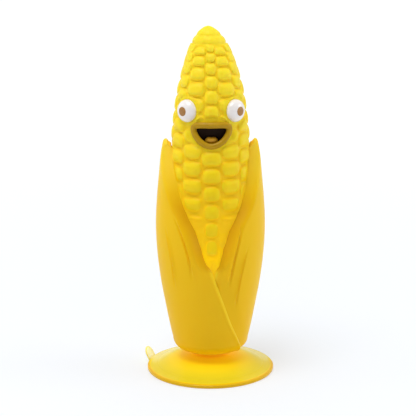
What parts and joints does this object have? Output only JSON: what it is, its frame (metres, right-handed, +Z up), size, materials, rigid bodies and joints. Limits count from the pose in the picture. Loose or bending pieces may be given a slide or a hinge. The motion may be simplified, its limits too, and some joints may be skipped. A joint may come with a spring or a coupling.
{
  "type": "corn cob toy on a suction cup",
  "caption": "Soft moulded corn cob toy with husk leaves and a plain smiling face, held upright by a suction cup with a pull tab.",
  "frame": {"origin": "centre of the suction cup's rim, on the surface that the toy stands on", "axes": "+Z up along the cob, the face looks along -Y, +X is on the right of someone who looks at the face"},
  "size_m": [0.0622, 0.0608, 0.1641],
  "materials": {
    "kernels": "soft vinyl with a satin, warm yellow paint",
    "husk": "soft vinyl, satin, golden yellow",
    "eye_white": "glossy white",
    "pupil": "brown, satin",
    "lip": "soft vinyl, olive brown, satin",
    "mouth_inside": "soft vinyl, dark brown, matt",
    "tongue": "soft vinyl, golden yellow, satin",
    "clear_cup": "translucent yellow vinyl, glossy"
  },
  "bodies": {
    "root": {"cob": "kernels", "husk_leaf_left": "husk", "husk_leaf_right": "husk", "eye_left": "eye_white", "eye_right": "eye_white", "pupil_left": "pupil", "pupil_right": "pupil", "lip_ring": "lip", "mouth_lining": "mouth_inside", "tongue": "tongue", "suction_cup": "clear_cup"}
  },
  "joints": []
}
